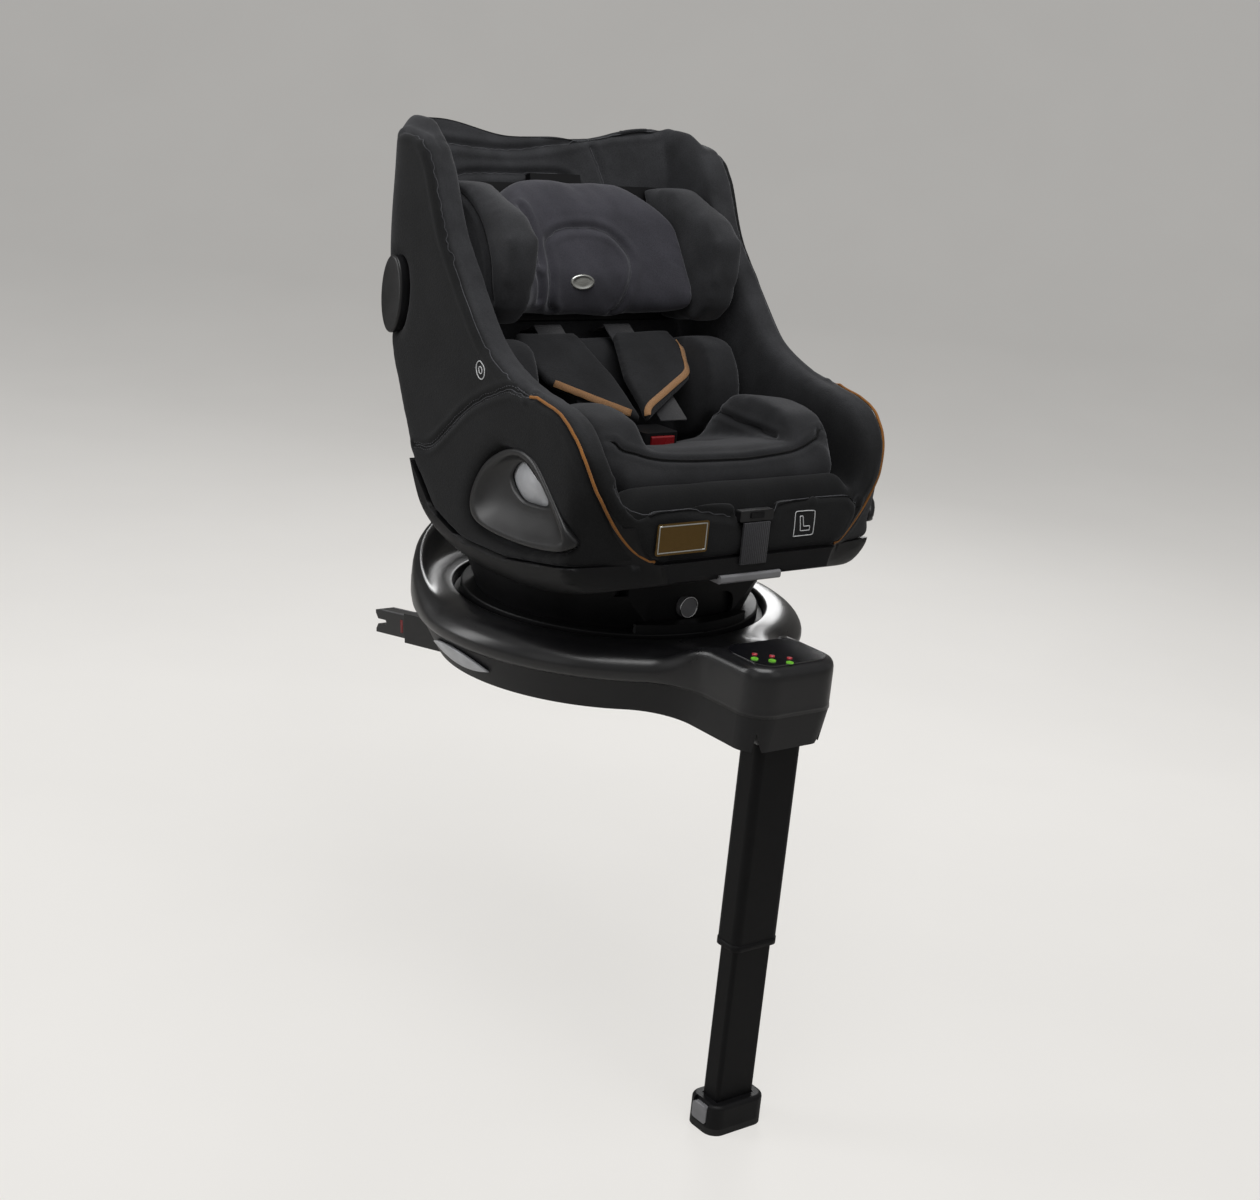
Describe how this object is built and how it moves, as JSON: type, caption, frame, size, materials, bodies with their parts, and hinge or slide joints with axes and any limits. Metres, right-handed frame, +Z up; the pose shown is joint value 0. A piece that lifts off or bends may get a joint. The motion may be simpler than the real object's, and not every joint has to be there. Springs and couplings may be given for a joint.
{
  "type": "convertible car seat",
  "caption": "Swivelling child car seat: padded bucket with harness and head support on a latch base with a folding load leg.",
  "frame": {"origin": "swivel axis at the flat underside of the base", "axes": "+Z up along the swivel axis, the child faces -Y at rest, +X is the child's left"},
  "size_m": [0.4682, 0.6194, 1.048],
  "materials": {
    "shell_black": "fine moulded grain, satin",
    "base_black": "satin",
    "indicator_gloss": "polished",
    "light_green": "lit lens",
    "pale_plastic": "satin",
    "leg_black": "powder coat",
    "latch_steel": "black e-coat",
    "hidden_steel": "plain",
    "rubber_black": "matt",
    "cover_black": "brushed knit",
    "cover_charcoal": "spacer knit",
    "insert_charcoal": "soft jersey",
    "webbing": "woven polyester",
    "bronze": "satin, blank",
    "button_red": "gloss",
    "grey_plastic": "satin"
  },
  "bodies": {
    "base": {"base_housing": "base_black", "leg_channel_liner": "shell_black", "base_cover": "base_black", "leg_bracket": "hidden_steel", "latch_guide_left": "shell_black", "latch_guide_right": "shell_black", "indicator_panel": "indicator_gloss", "status_light_1": "light_green", "status_light_2": "light_green", "status_light_3": "light_green", "leg_pivot_pin": "hidden_steel", "turntable_bearing": "shell_black"},
    "latch_left": {"latch_arm_left": "latch_steel"},
    "latch_right": {"latch_arm_right": "latch_steel"},
    "release_left": {"latch_release_left": "pale_plastic"},
    "release_right": {"latch_release_right": "pale_plastic"},
    "leg_upper": {"leg_outer_tube": "leg_black"},
    "leg_button": {"leg_height_button": "grey_plastic"},
    "leg_lower": {"leg_inner_tube": "leg_black", "leg_foot": "shell_black", "foot_end_cap": "grey_plastic", "foot_sole": "rubber_black"},
    "turntable": {"turntable_disc": "shell_black", "carriage": "shell_black", "front_bumper": "shell_black"},
    "swivel_press": {"swivel_button": "grey_plastic"},
    "seat": {"seat_shell": "shell_black", "side_pad_right": "cover_black", "side_pad_left": "cover_black", "handle_bezel_right": "shell_black", "handle_bezel_left": "shell_black", "handle_liner_right": "pale_plastic", "handle_liner_left": "pale_plastic", "recline_rib_right": "shell_black", "recline_rib_left": "shell_black", "back_pad": "cover_charcoal", "seat_cushion": "cover_charcoal", "front_panel": "cover_black", "seat_insert": "cover_charcoal", "back_insert": "cover_charcoal", "shoulder_pad_right": "cover_charcoal", "shoulder_pad_left": "cover_charcoal", "shoulder_belt_right": "webbing", "shoulder_belt_left": "webbing", "name_plate": "bronze", "buckle": "shell_black", "crotch_strap": "webbing", "adjuster_bezel": "shell_black", "adjuster_strap": "webbing"},
    "pod_left": {"side_pod_left": "cover_black"},
    "pod_right": {"side_pod_right": "cover_black"},
    "recline_pull": {"recline_handle": "grey_plastic"},
    "buckle_press": {"buckle_button": "button_red"},
    "adjuster_press": {"adjuster_button": "grey_plastic"},
    "headrest": {"head_carrier": "shell_black", "head_wing_right": "cover_charcoal", "head_wing_left": "cover_charcoal", "head_insert": "insert_charcoal"},
    "headrest_squeeze": {"head_release": "grey_plastic"}
  },
  "joints": [
    {"name": "seat_swivel", "type": "hinge", "parent": "base", "child": "turntable", "pos_m": [0, 0, 0], "axis": [0, 0, 1], "continuous": true},
    {"name": "seat_recline", "type": "hinge", "parent": "turntable", "child": "seat", "pos_m": [0, -0.045, 0.624], "axis": [-1, 0, 0], "range_deg": [0, 12]},
    {"name": "headrest_height", "type": "slide", "parent": "seat", "child": "headrest", "axis": [0, 0.342, 0.9397], "range_m": [0, 0.09]},
    {"name": "headrest_release", "type": "slide", "parent": "headrest", "child": "headrest_squeeze", "axis": [0, 0.342, 0.9397], "range_m": [0, 0.006], "stiffness_N_per_m": 700},
    {"name": "swivel_release", "type": "slide", "parent": "turntable", "child": "swivel_press", "axis": [0, 1, 0], "range_m": [0, 0.005], "stiffness_N_per_m": 700},
    {"name": "recline_release", "type": "slide", "parent": "seat", "child": "recline_pull", "axis": [0, -1, 0], "range_m": [0, 0.01], "stiffness_N_per_m": 700},
    {"name": "buckle_release", "type": "slide", "parent": "seat", "child": "buckle_press", "axis": [0, 1, 0], "range_m": [0, 0.003], "stiffness_N_per_m": 700},
    {"name": "harness_release", "type": "slide", "parent": "seat", "child": "adjuster_press", "axis": [0, 1, 0], "range_m": [0, 0.0015], "stiffness_N_per_m": 700},
    {"name": "pod_right_out", "type": "slide", "parent": "seat", "child": "pod_right", "axis": [-1, 0, 0], "range_m": [0, 0.018]},
    {"name": "pod_left_out", "type": "slide", "parent": "seat", "child": "pod_left", "axis": [1, 0, 0], "range_m": [0, 0.018]},
    {"name": "latch_left_reach", "type": "slide", "parent": "base", "child": "latch_left", "axis": [0, 0.9848, -0.1736], "range_m": [-0.05, 0.05]},
    {"name": "latch_right_reach", "type": "slide", "parent": "base", "child": "latch_right", "axis": [0, 0.9848, -0.1736], "range_m": [-0.05, 0.05]},
    {"name": "latch_release_right_press", "type": "slide", "parent": "base", "child": "release_right", "axis": [1, 0, 0], "range_m": [0, 0.003], "stiffness_N_per_m": 700},
    {"name": "latch_release_left_press", "type": "slide", "parent": "base", "child": "release_left", "axis": [-1, 0, 0], "range_m": [0, 0.003], "stiffness_N_per_m": 700},
    {"name": "leg_fold", "type": "hinge", "parent": "base", "child": "leg_upper", "pos_m": [0, -0.308, 0.02], "axis": [1, 0, 0], "range_deg": [0, 90]},
    {"name": "leg_extend", "type": "slide", "parent": "leg_upper", "child": "leg_lower", "axis": [0, 0, -1], "range_m": [-0.175, 0.02]},
    {"name": "leg_height_release", "type": "slide", "parent": "leg_upper", "child": "leg_button", "axis": [0, -1, 0], "range_m": [0, 0.0022], "stiffness_N_per_m": 700}
  ],
  "couplings": [
    {"joint": "latch_right_reach", "follows": "latch_left_reach", "ratio": 1}
  ]
}
